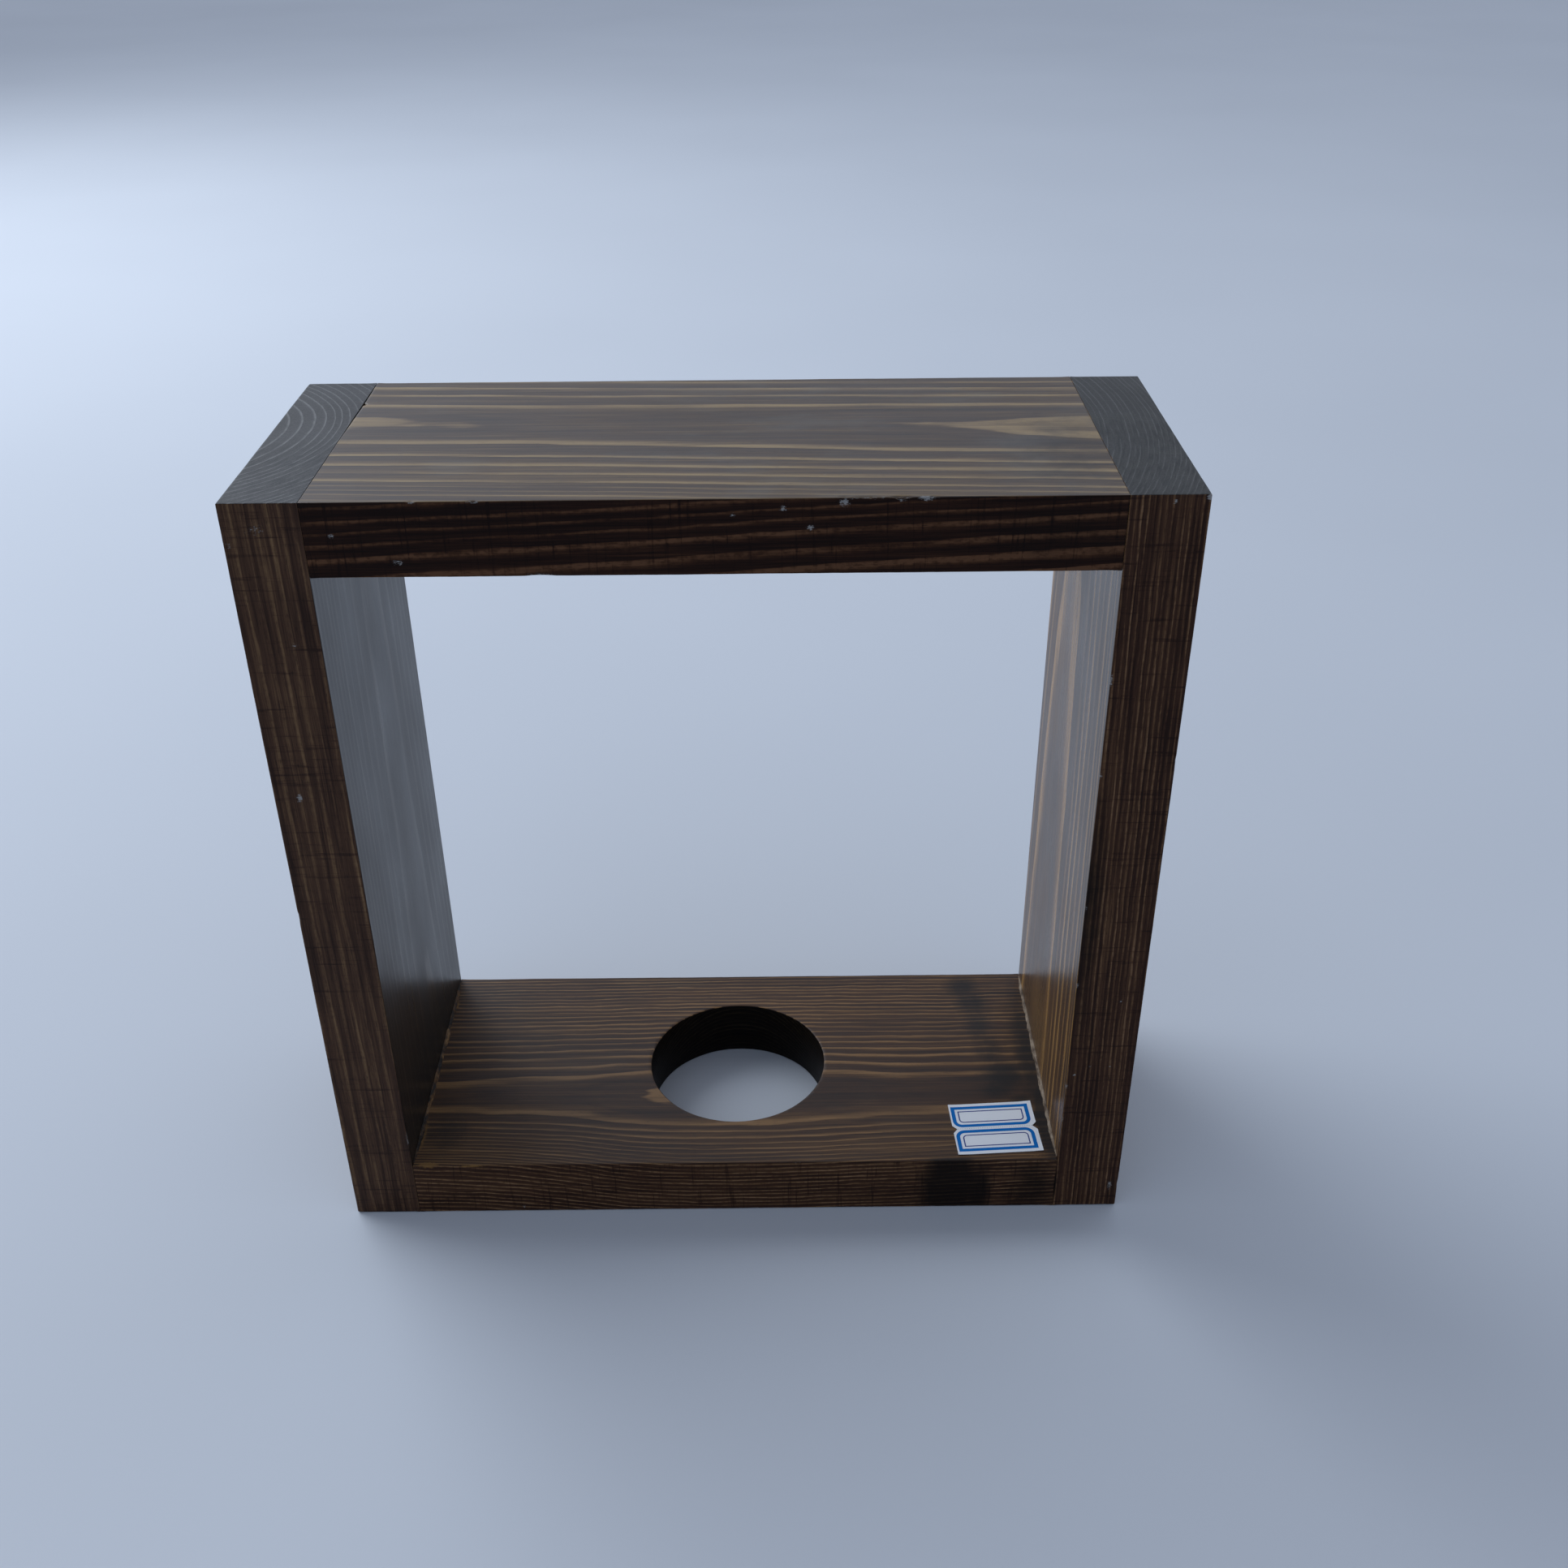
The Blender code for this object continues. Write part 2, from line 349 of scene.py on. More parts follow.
        # A saw left fine marks across the grain, which break the lines into dashes.
        saw = g.noise(g.join(g.mul(a, 0.05), g.mul(b, 0.05), g.math("MULTIPLY_ADD", along, 0.9, seed)), detail=3.0, rough=0.65)
        dash = g.noise(g.join(g.mul(a, 0.9), g.mul(b, 0.9), g.math("MULTIPLY_ADD", along, 0.55, seed)), detail=2.0)
        scar = g.step(saw, 0.55, 0.74)
        late = g.mul(late, g.step(dash, 0.30, 0.62, 0.62, 1.08), g.math("MULTIPLY_ADD", scar, -0.40, 1.0))
        tint = g.add(
            base,
            g.mul(late, 0.66 * lines),
            g.math("MULTIPLY_ADD", fibre, 0.46, -0.23),
            g.math("MULTIPLY_ADD", strand, 0.56, -0.28),
            g.math("MULTIPLY_ADD", vein, 0.40, -0.20),
            g.math("MULTIPLY_ADD", band, 0.34, -0.17),
            g.math("MULTIPLY_ADD", growth, 0.40, -0.20),
            g.mul(g.math("SUBTRACT", cloud, 0.5), 0.40),
            g.mul(scar, -0.20),
        )
    else:
        scar = None
        tint = g.add(
            0.19,
            g.mul(late, 0.72 * lines),
            g.math("MULTIPLY_ADD", fibre, 0.36, -0.18),
            g.math("MULTIPLY_ADD", strand, 0.52, -0.26),
            g.math("MULTIPLY_ADD", vein, 0.58, -0.29),
            g.math("MULTIPLY_ADD", band, 0.34, -0.17),
            g.math("MULTIPLY_ADD", growth, 0.50, -0.25),
            g.mul(g.math("SUBTRACT", cloud, 0.5), 0.26),
            g.mul(g.step(y, -8.0, -38.0), front),
        )
    colour = g.ramp(tint, [(0.0, DARK), (0.25, BROWN), (0.55, OCHRE), (1.0, TAN)])
    colour = g.mix(1.0, colour, tone, "MULTIPLY")
    colour = g.mix(g.mul(pore, 0.55), colour, SOOT)
    end = None
    speck = g.noise(g.join(g.mul(a, 2.1), g.mul(b, 2.1), g.mul(along, 0.3)), detail=3.0, rough=0.65)
    if place == "face" and grain == "Z":
        # End grain drinks more stain, and shows the rings as thin pale lines with sooty streaks between.
        normal = coordinates.outputs["Normal"]
        end = g.step(g.math("ABSOLUTE", g.split(normal)[2]), 0.6, 0.85)
        streak = g.noise(g.join(g.mul(radius, 1.5), g.mul(g.add(a, b), 0.10), 0.0), detail=2.0)
        kerf = g.noise(g.join(g.mul(a, 0.12), g.mul(b, 1.7), 0.0), detail=2.0)
        inked = g.mix(g.step(speck, 0.35, 0.75), (0.017, 0.0145, 0.0130), (0.050, 0.045, 0.042))
        inked = g.mix(g.mul(g.step(kerf, 0.50, 0.78), 0.35), inked, (0.075, 0.070, 0.067))
        inked = g.mix(g.mul(g.step(line, 0.70, 0.98), strength, g.step(run, 0.30, 0.60, 0.55, 1.0), ends[1]), inked, (0.165, 0.155, 0.146))
        inked = g.mix(g.mul(g.step(streak, 0.48, 0.62), g.step(y, ends[2], ends[2] - 30.0), 0.95), inked, (0.003, 0.0028, 0.0028))
        inked = g.mix(1.0, inked, (ends[0],) * 3, "MULTIPLY")
        colour = g.mix(end, colour, inked)
    if place == "face":
        # A thin pale film of old wax in patches
        wax = g.noise(cells(16.0, 30.0, 12.7), detail=3.0, rough=0.6)
        waxed = tuple(c * min(t, 1.0) for c, t in zip((0.185, 0.190, 0.165), tone))
        colour = g.mix(g.mul(g.step(wax, 0.50, 0.74, 0.32, 1.0), film), colour, waxed)
    colour = g.mix(
        g.mul(amber, 0.85), colour, g.mix(fibre, (0.10, 0.045, 0.012), (0.36, 0.19, 0.055))
    )
    # Blots darken toward soot: stain pools in most places, and painted shade along the bottom board's right joint and
    # on the lower left inner face.
    colour = g.mix(g.mul(stain_and_shade_blot, 0.88), colour, SOOT)
    # The wall of the hole is near black: dark end-grain stain together with painted shade.
    if place == "bore":
        colour = g.mix(0.93, colour, (0.0022, 0.0020, 0.0020))
    colour = g.mix(g.mul(pale, 0.75), colour, (0.36, 0.35, 0.335))

    rough = g.add(
        g.math("MULTIPLY_ADD", fibre, 0.12, 0.38 + dull),
        g.mul(late, -0.05),
        g.mul(g.math("SUBTRACT", cloud, 0.5), 0.16),
        g.mul(pale, 0.25),
        g.mul(end, 0.06 - dull) if end is not None else 0.0,
    )
    height = g.add(
        g.mul(late, 0.45),
        g.mul(fibre, 0.55),
        g.mul(strand, 0.45),
        g.mul(pore, -0.6),
    )
    if scar is not None:
        height = g.add(height, g.mul(scar, -0.6))
    if end is not None:
        height = g.add(height, g.mul(speck, g.mul(end, 1.2)))
    g.principled(
        Base_Color=colour,
        Roughness=rough,
        IOR=1.48,
        Specular_IOR_Level=gloss,
        Normal=g.bump(height, 0.00005, 0.6),
    )
    return material


def years(start, *runs):
    """(radius, strength) of year ends that go on from start by (count, first gap, last gap, strengths)."""
    ends = [(start, 1.0)]
    for count, first, last, strengths in runs:
        for i in range(count):
            gap = first + (last - first) * (i / max(count - 1, 1))
            ends.append((ends[-1][0] + gap, strengths[i % len(strengths)]))
    return ends


TOP_RINGS = years(37.9, (7, 3.0, 3.0, (0.9, 1.0))) + [
    (62.0, 1.0),
    (65.1, 0.95),
    (68.3, 1.0),
    (71.4, 0.80),
    (74.7, 0.85),
    (76.9, 0.60),
    (78.9, 0.55),
    (81.0, 0.70),
    (83.7, 0.60),
    (86.4, 0.60),
]
BOTTOM_RINGS = [
    (46.6, 1.0),
    (49.1, 0.95),
    (50.55, 0.95),
    (51.7, 0.90),
    (53.1, 0.95),
    (54.5, 0.90),
    (56.0, 0.80),
    (57.4, 0.75),
    (58.8, 0.70),
    (60.3, 0.60),
] + years(60.3, (18, 1.36, 1.42, (0.90, 0.70, 0.95, 0.78, 0.86)), (4, 1.4, 1.4, (0.8,)))[1:]
LEFT_RINGS = [
    (35.5, 1.0),
    (39.2, 1.0),
    (42.8, 1.0),
    (46.4, 1.0),
    (49.4, 1.0),
    (51.9, 1.0),
    (53.9, 1.0),
    (56.2, 1.0),
    (58.65, 0.75),
    (61.1, 0.65),
    (63.8, 0.65),
    (66.2, 0.95),
    (68.2, 0.60),
    (70.2, 0.90),
    (72.2, 0.80),
    (74.2, 0.70),
    (76.4, 0.95),
    (78.4, 0.70),
    (80.4, 0.70),
]
RIGHT_RINGS = [
    (127.0, 0.90),
    (131.4, 0.78),
    (135.6, 0.85),
    (137.4, 0.45),
    (138.9, 1.0),
    (140.6, 0.90),
    (142.6, 0.55),
    (144.9, 1.0),
    (146.2, 0.60),
    (147.6, 0.95),
    (149.8, 0.70),
] + years(149.8, (15, 1.40, 1.45, (0.60, 1.0, 0.75, 0.40, 0.95, 0.65, 1.0)))[1:]

TOP_WOOD = dict(
    grain="X",
    pith=(7.3, 248.0 - 59.25),
    lean=-0.041,
    drift=[(-106, 0.42), (-60, 0.45), (-30, 0.40), (0, 0.10), (40, -0.36), (55, -0.48), (80, -0.70), (106, -0.92)],
    flames=[
        (-106, -1.03), (-98, -0.90), (-90, -0.80), (-83, -0.77), (-72, -0.745), (-60, -0.60), (-45, -0.2), (-30, 0.0),
        (30, 0.0), (40, 0.06), (55, 0.11), (65.6, 0.17), (75, 0.17), (85, 0.06), (95, -0.08), (106, -0.24),
    ],
    ragged=0.22,
    rings=TOP_RINGS,
    seed=3.0,
)
BOTTOM_WOOD = dict(
    grain="X",
    pith=(-15.2, 20.6 + 50.0),
    lean=0.004,
    drift=[(-106, 0.30), (-80, 0.32), (-60, 0.46), (-50, 0.62), (-44, 0.78), (-36, 0.875), (-33, 0.90), (-29.5, 0.955), (-20, 1.0), (0, 0.95), (18, 0.85), (28, 0.70), (36, 0.62), (60, 0.32), (106, 0.38)],
    rings=BOTTOM_RINGS,
    spread=[(-106, 1.04), (-80, 1.0), (-55, 0.92), (-30, 0.82), (0, 0.78), (40, 0.80), (106, 0.86)],
    ripple=0.5,
    ragged=0.20,
    seed=11.0,
)
LEFT_WOOD = dict(
    grain="Z",
    pith=(-159.4, 5.2),
    lean=0.0,
    drift=[(0, -1.9), (45, -1.4), (70, -1.1), (100, -0.6), (140, -0.06), (180, 0.0), (215, 0.4), (250, 0.8)],
    rings=LEFT_RINGS,
    seed=23.0,
)
RIGHT_WOOD = dict(
    grain="Z",
    pith=(-30.3, 14.5),
    lean=0.0,
    drift=[(0, -2.0), (45, -1.63), (70, -1.29), (100, -0.96), (140, -0.64), (180, 0.0), (215, 0.5), (250, 0.85)],
    rings=RIGHT_RINGS,
    seed=31.0,
)
# The materials of each board: planed faces with end grain, sawn edges, and the wall of a hole
wood = {
    "top_board": [
        stained_wood("stained_pine_top", place="face", film=0.24, front=0.07, tone=(1.28, 1.24, 1.04), lines=1.0, **TOP_WOOD),
        stained_wood("stained_pine_top", place="edge", base=0.09, tone=(0.39, 0.265, 0.27), lines=1.60, dull=0.10, gloss=0.10, **TOP_WOOD),
    ],
    "bottom_board": [
        stained_wood("stained_pine_bottom", place="face", front=0.07, tone=(0.98, 0.775, 0.60), lines=1.20, dull=0.06, gloss=0.36, **BOTTOM_WOOD),
        stained_wood("stained_pine_bottom", place="edge", tone=(0.91, 0.78, 0.83), lines=1.25, dull=0.10, gloss=0.10, **BOTTOM_WOOD),
        # The hole's wall: dark stain deepened to near black as painted shade.
        stained_wood("stained_pine_bottom", place="bore", gloss=0.06, **BOTTOM_WOOD),
    ],
    "left_side_board": [
        # The left board's inner face is toned near black, which paints the shade inside the frame; its outer face
        # keeps the usual stain tone.
        stained_wood("stained_pine_left", place="face", film=0.05, ends=(1.12, 0.80, 8.0), tone=(0.20, 0.185, 0.20), lines=0.60, dull=-0.10, gloss=0.45, **LEFT_WOOD),
        stained_wood("stained_pine_left", place="edge", tone=(1.18, 1.13, 1.30), lines=0.42, dull=0.10, gloss=0.12, **LEFT_WOOD),
        stained_wood("stained_pine_left", place="outer", tone=(0.95, 0.80, 0.68), lines=0.95, dull=0.02, gloss=0.40, **LEFT_WOOD),
    ],
    "right_side_board": [
        stained_wood("stained_pine_right", place="face", ends=(0.68, 0.55, 34.0), tone=(1.46, 1.13, 0.68), lines=1.38, dull=-0.14, gloss=0.46, **RIGHT_WOOD),
        stained_wood("stained_pine_right", place="edge", tone=(0.91, 0.79, 0.90), lines=0.82, dull=0.10, gloss=0.10, **RIGHT_WOOD),
        stained_wood("stained_pine_right", place="outer", tone=(1.00, 0.84, 0.68), lines=1.00, dull=0.02, gloss=0.40, **RIGHT_WOOD),
    ],
}


# ---------------------------------------------------------------- boards


def ladder(low, high, step, fine=()):
    """Places in mm from low to high: close together at both ends, step apart between, and finer around
    each (centre, half, step) of fine."""
    places = {round(low, 3), round(high, 3)}
    for gap in (0.1, 0.22, 0.38, 0.6, 0.95, 1.5, 2.4):
        places |= {round(low + gap, 3), round(high - gap, 3)}
    count = max(1, round((high - low - 4.8) / step))
    places |= {
        round(low + 2.4 + (high - low - 4.8) * i / count, 3) for i in range(count + 1)
    }
    for centre, half, close in fine:
        n = int(half / close)
        places |= {
            round(centre + i * close, 3)
            for i in range(-n, n + 1)
            if low + 2.4 < centre + i * close < high - 2.4
        }
    kept = []
    for place in sorted(places):
        if not kept or place - kept[-1] > 0.07:
            kept.append(place)
    kept[-1] = round(high, 3)
    return kept


def box_surface(xs, ys, zs):
    """Points and faces of a box surface on the given places."""
    index, points, faces = {}, [], []

    def at(i, j, k):
        key = (i, j, k)
        if key not in index:
            index[key] = len(points)
            points.append((xs[i], ys[j], zs[k]))
        return index[key]

    nx, ny, nz = len(xs) - 1, len(ys) - 1, len(zs) - 1
    for i in range(nx):
        for j in range(ny):
            faces.append((at(i, j, 0), at(i, j + 1, 0), at(i + 1, j + 1, 0), at(i + 1, j, 0)))
            faces.append((at(i, j, nz), at(i + 1, j, nz), at(i + 1, j + 1, nz), at(i, j + 1, nz)))
    for i in range(nx):
        for k in range(nz):
            faces.append((at(i, 0, k), at(i + 1, 0, k), at(i + 1, 0, k + 1), at(i, 0, k + 1)))
            faces.append((at(i, ny, k), at(i, ny, k + 1), at(i + 1, ny, k + 1), at(i + 1, ny, k)))
    for j in range(ny):
        for k in range(nz):
            faces.append((at(0, j, k), at(0, j, k + 1), at(0, j + 1, k + 1), at(0, j + 1, k)))
            faces.append((at(nx, j, k), at(nx, j + 1, k), at(nx, j + 1, k + 1), at(nx, j, k + 1)))
    return np.array(points), faces


def noise_at(points, cell, seed):
    """Smooth noise from -1 to 1 at each point, on cells of this many mm."""
    return np.array(
        [noise.noise(Vector(p) / cell + Vector((seed, 2 * seed, -seed))) for p in points]
    )


def soft_ball(points, centre, radii):
    """1 at the centre, 0 outside the ellipsoid."""
    s = (((points - np.array(centre)) / np.array(radii)) ** 2).sum(1)
    return np.clip(1 - s, 0, 1) ** 2


def make_board(node, seed, dents=(), marks=(), fine=((), (), ()), hole=None, step=1.6):
    """One board in the place of its node: eased and worn arrises, dents, and marks for the material.

    dents are (centre, radii, push), in mm, and marks are (layer, centre, radii, amount)."""
    low, high = (np.array(v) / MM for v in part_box(node))
    rail = node in ("top_board", "bottom_board")
    if rail:  # the glue line closes to a hairline
        low[0] -= 0.25
        high[0] += 0.25
    axes = [ladder(low[i], high[i], step, fine[i]) for i in range(3)]
    points, faces = box_surface(*axes)
    # Arrises: an eased edge whose radius wanders, and almost none where two boards are flush.
    radius = 0.42 + 0.16 * noise_at(points, 17.0, seed) + 0.10 * noise_at(points, 3.5, seed + 5)
    if rail:
        near = np.clip((np.abs(points[:, 0]) - 101.5) / 2.5, 0, 1)
    else:
        inner = np.clip((106.0 - np.abs(points[:, 0])) / 1.0, 0, 1)
        flush = np.clip((np.abs(points[:, 2] - 124.0) - 101.0) / 2.0, 0, 1)
        near = inner * flush
    radius = radius * (1 - near) + 0.10 * near
    radius = np.clip(radius, 0.08, 0.9)[:, None]
    core = np.clip(points, low + radius, high - radius)
    out = points - core
    length = np.linalg.norm(out, axis=1, keepdims=True)
    points = core + radius * out / np.maximum(length, 1e-9)
    # A planed face is never quite flat.
    inward = -out / np.maximum(length, 1e-9)
    points = points + inward * (0.02 + 0.02 * noise_at(points, 21.0, seed + 9))[:, None]
    for centre, radii, push in dents:
        weight = soft_ball(points, centre, radii)
        weight = weight * (0.75 + 0.35 * noise_at(points, 0.9, seed + 3))
        points = points + weight[:, None] * np.array(push)
    points = np.clip(points, low, high)

    mesh = bpy.data.meshes.new(node + "_worn")
    mesh.from_pydata((points * MM).tolist(), [], faces)
    mesh.validate()
    piece = bpy.data.objects.new(node + "_worn", mesh)
    scene.collection.objects.link(piece)
    if hole:
        cutter = spool(*hole)
        cut = piece.modifiers.new("hole", "BOOLEAN")
        cut.operation, cut.solver, cut.object = "DIFFERENCE", "EXACT", cutter
        bpy.context.view_layer.update()
        graph = bpy.context.evaluated_depsgraph_get()
        drilled = bpy.data.meshes.new_from_object(piece.evaluated_get(graph))
        piece.modifiers.clear()
        piece.data = drilled
        bpy.data.objects.remove(cutter, do_unlink=True)
        mesh = drilled
        mesh.name = node + "_worn"
    mesh.shade_smooth()
    mesh.set_sharp_from_angle(angle=math.radians(48))
    where = np.empty(len(mesh.vertices) * 3)
    mesh.vertices.foreach_get("co", where)
    where = where.reshape(-1, 3) / MM
    for layer in ("pale", "amber", "stain_and_shade_blot"):
        value = np.zeros(len(where))
        for kind, centre, radii, amount in marks:
            if kind == layer:
                value = np.maximum(value, amount * soft_ball(where, centre, radii))
        stored = mesh.attributes.new(layer, "FLOAT", "POINT")
        stored.data.foreach_set("value", value)
    mesh.materials.clear()
    for material in wood[node]:
        mesh.materials.append(material)
    facing = np.empty(len(mesh.polygons) * 3)
    mesh.polygons.foreach_get("normal", facing)
    middle = np.empty(len(mesh.polygons) * 3)
    mesh.polygons.foreach_get("center", middle)
    facing, middle = facing.reshape(-1, 3), middle.reshape(-1, 3) / MM
    kind = np.where(np.abs(facing[:, 1]) > 0.7, 1, 0)
    if hole:
        inside = np.hypot(middle[:, 0] - hole[0][0], middle[:, 1] - hole[0][1]) < hole[1] + 0.6
        kind = np.where(inside & (np.abs(facing[:, 2]) < 0.75), 2, kind)
    if not rail:
        kind = np.where(facing[:, 0] * np.sign(middle[:, 0]) > 0.7, 2, kind)
    mesh.polygons.foreach_set("material_index", kind.astype(np.int32))
    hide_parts(node)
    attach(piece, "root")
    return piece


def spool(centre, radius, low, high, ease):
    """A cutter for a hole whose rims are eased: a cylinder that flares at both ends."""
    bm = bmesh.new()
    count = 128
    profile = [
        (low - 3.0, radius + ease + 3.0),
        (low, radius + ease),
        (low + 0.35 * ease, radius + 0.45 * ease),
        (low + ease, radius),
        (0.5 * (low + high), radius),
        (high - ease, radius),
        (high - 0.35 * ease, radius + 0.45 * ease),
        (high, radius + ease),
        (high + 3.0, radius + ease + 3.0),
    ]
    rings = []
    for z, r in profile:
        ring = []
        for i in range(count):
            angle = 2 * math.pi * i / count
            wobble = 1 + 0.0012 * math.sin(3 * angle + 0.7) + 0.0008 * math.sin(11 * angle)
            ring.append(
                bm.verts.new(
                    (
                        (centre[0] + r * wobble * math.cos(angle)) * MM,
                        (centre[1] + r * wobble * math.sin(angle)) * MM,
                        z * MM,
                    )
                )
            )
        rings.append(ring)
    for under, over in zip(rings, rings[1:]):
        for i in range(count):
            j = (i + 1) % count
            bm.faces.new((under[i], under[j], over[j], over[i]))
    bm.faces.new(rings[0][::-1])
    bm.faces.new(rings[-1])
    bmesh.ops.recalc_face_normals(bm, faces=bm.faces)
    mesh = bpy.data.meshes.new("spool")
    bm.to_mesh(mesh)
    bm.free()
    made = bpy.data.objects.new("spool", mesh)
    scene.collection.objects.link(made)
    return made


F = -48.5  # front faces
make_board(
    "top_board",
    1.0,
    dents=[
        ((32.6, F, 247.2), (2.6, 1.6, 2.2), (0, 0.55, -0.35)),
        ((38.0, F, 248.0), (5.0, 1.2, 1.2), (0, 0.30, -0.35)),
        ((47.0, F, 248.0), (4.0, 1.3, 1.4), (0, 0.35, -0.45)),
        ((55.5, F, 248.0), (2.0, 1.0, 1.2), (0, 0.20, -0.30)),
        ((-60.5, F, 248.0), (2.4, 0.9, 0.9), (0, 0.25, -0.25)),
        ((-76.0, F, 248.0), (1.6, 0.9, 0.9), (0, 0.22, -0.25)),
        ((24.2, F, 240.1), (1.6, 1.2, 0.9), (0, 0.35, 0)),
        ((17.3, F, 245.2), (1.2, 1.0, 0.8), (0, 0.25, 0)),
        ((4.6, F, 243.6), (0.9, 1.0, 0.8), (0, 0.25, 0)),
        ((-97.4, F, 238.9), (1.0, 1.0, 0.9), (0, 0.25, 0)),
        ((-81.3, F, 231.4), (2.0, 1.0, 1.2), (0, 0.28, 0)),
        ((-45.2, F, 227.6), (5.0, 1.2, 0.9), (0, 0.28, 0.3)),
        ((-104.4, 26.0, 248.0), (0.8, 32.0, 1.2), (0.20, 0, -0.18)),
        ((-104.4, 28.5, 248.0), (1.6, 1.3, 2.0), (0.8, 0, -0.5)),
    ],
    marks=[
        ("pale", (32.6, F, 246.6), (2.4, 2.0, 1.8), 0.9),
        ("pale", (38.0, F, 248.0), (10.0, 1.2, 0.9), 0.55),
        ("pale", (53.5, F, 247.8), (3.6, 1.4, 1.2), 0.9),
        ("pale", (47.5, F, 247.6), (2.6, 1.4, 1.2), 0.55),
        ("pale", (24.2, F, 240.1), (1.8, 1.5, 1.1), 0.95),
        ("pale", (17.3, F, 245.2), (1.5, 1.5, 1.1), 0.75),
        ("pale", (4.6, F, 243.6), (1.1, 1.5, 0.9), 0.7),
        ("pale", (-97.4, F, 238.9), (1.3, 1.5, 1.1), 0.75),
        ("pale", (-81.3, F, 231.6), (2.2, 1.5, 1.3), 0.7),
        ("pale", (-45.2, F, 227.8), (6.0, 1.5, 1.0), 0.55),
        ("pale", (-76.0, F, 248.0), (1.6, 1.0, 0.9), 0.9),
        ("pale", (-60.5, F, 248.0), (2.8, 1.0, 0.9), 0.8),
        ("pale", (63.4, -20.1, 248.0), (1.6, 1.2, 1.0), 0.6),
        ("pale", (28.6, -32.4, 248.0), (2.4, 1.2, 1.0), 0.5),
        ("stain_and_shade_blot", (0.0, F, 250.0), (120.0, 3.0, 3.2), 0.55),
        ("stain_and_shade_blot", (88.0, F, 238.0), (34.0, 3.0, 14.0), 0.45),
        ("stain_and_shade_blot", (94.0, -14.0, 248.0), (28.0, 58.0, 3.0), 0.52),
        ("stain_and_shade_blot", (-104.4, 26.0, 248.0), (0.55, 36.0, 1.2), 1.0),
        ("stain_and_shade_blot", (-104.4, 28.5, 248.0), (1.2, 1.2, 1.6), 1.0),
    ],
    fine=(
        ((32.6, 4, 0.4), (46, 9, 0.5), (-60.5, 3, 0.5), (-76, 3, 0.5), (24, 3, 0.5), (17, 2, 0.5), (-81, 3, 0.5), (-97, 2, 0.5), (4.6, 2, 0.5)),
        ((28.5, 2.4, 0.4),),
        ((240, 2, 0.5), (245, 2.5, 0.5), (231.4, 2, 0.5)),
    ),
)
make_board(
    "bottom_board",
    2.0,
    dents=[
        ((-69.9, F, 1.8), (0.9, 1.0, 2.0), (0, 0.25, 0)),
        ((20.0, F, 20.6), (4.0, 0.9, 0.9), (0, 0.2, -0.2)),
    ],
    marks=[
        ("amber", (-103.4, 33.0, 20.6), (2.0, 4.0, 2.0), 0.8),
        ("amber", (-103.6, 21.0, 20.6), (1.4, 5.0, 2.0), 0.5),
        ("amber", (-103.4, -34.0, 20.6), (1.5, 13.0, 2.0), 0.85),
        ("amber", (-99.5, -47.8, 20.6), (6.0, 1.8, 2.4), 0.95),
        ("amber", (-85.0, -48.6, 20.6), (9.0, 1.0, 1.2), 0.8),
        ("amber", (98.0, -46.5, 20.6), (6.0, 2.0, 1.6), 0.45),
        ("stain_and_shade_blot", (82.0, 41.0, 20.6), (11.0, 11.0, 3.0), 0.86),
        ("stain_and_shade_blot", (85.5, 32.0, 20.6), (11.0, 13.0, 3.0), 0.86),
        ("stain_and_shade_blot", (86.0, 20.0, 20.6), (9.0, 14.0, 3.0), 0.74),
        ("stain_and_shade_blot", (88.5, 6.0, 20.6), (9.0, 15.0, 3.0), 0.70),
        ("stain_and_shade_blot", (92.0, -8.0, 20.6), (13.0, 13.0, 3.0), 1.0),
        ("stain_and_shade_blot", (88.0, -15.0, 20.6), (11.0, 9.0, 3.0), 0.85),
        ("stain_and_shade_blot", (102.0, 6.0, 20.6), (9.0, 56.0, 3.0), 0.85),
        # A dark strip next to the right board's joint: painted shade of the inside corner.
        ("stain_and_shade_blot", (103.5, -30.0, 20.6), (6.5, 30.0, 3.0), 1.45),
        ("stain_and_shade_blot", (97.0, -20.0, 20.6), (10.0, 5.0, 3.0), 0.80),
        ("stain_and_shade_blot", (-99.5, 0.0, 20.6), (7.0, 46.0, 3.0), 0.25),
        ("stain_and_shade_blot", (-96.0, -33.0, 20.6), (14.0, 15.0, 3.0), 0.62),
        ("stain_and_shade_blot", (70.0, F, 9.0), (15.5, 3.0, 30.0), 1.35),
        ("stain_and_shade_blot", (79.0, F, 6.0), (8.0, 3.0, 24.0), 1.1),
        ("stain_and_shade_blot", (97.0, F, 8.0), (14.0, 3.0, 24.0), 0.75),
        ("stain_and_shade_blot", (104.4, F, 10.0), (0.8, 2.0, 13.0), 1.0),
        ("pale", (-69.9, F, 1.8), (0.9, 1.2, 1.8), 0.6),
        ("pale", (20.0, F, 20.6), (4.5, 1.0, 0.9), 0.45),
    ],
    fine=(((-70, 2, 0.5), (20, 4, 0.7)), (), ()),
    hole=((0.0, 1.1), 30.0, 0.0, 20.6, 0.45),
)
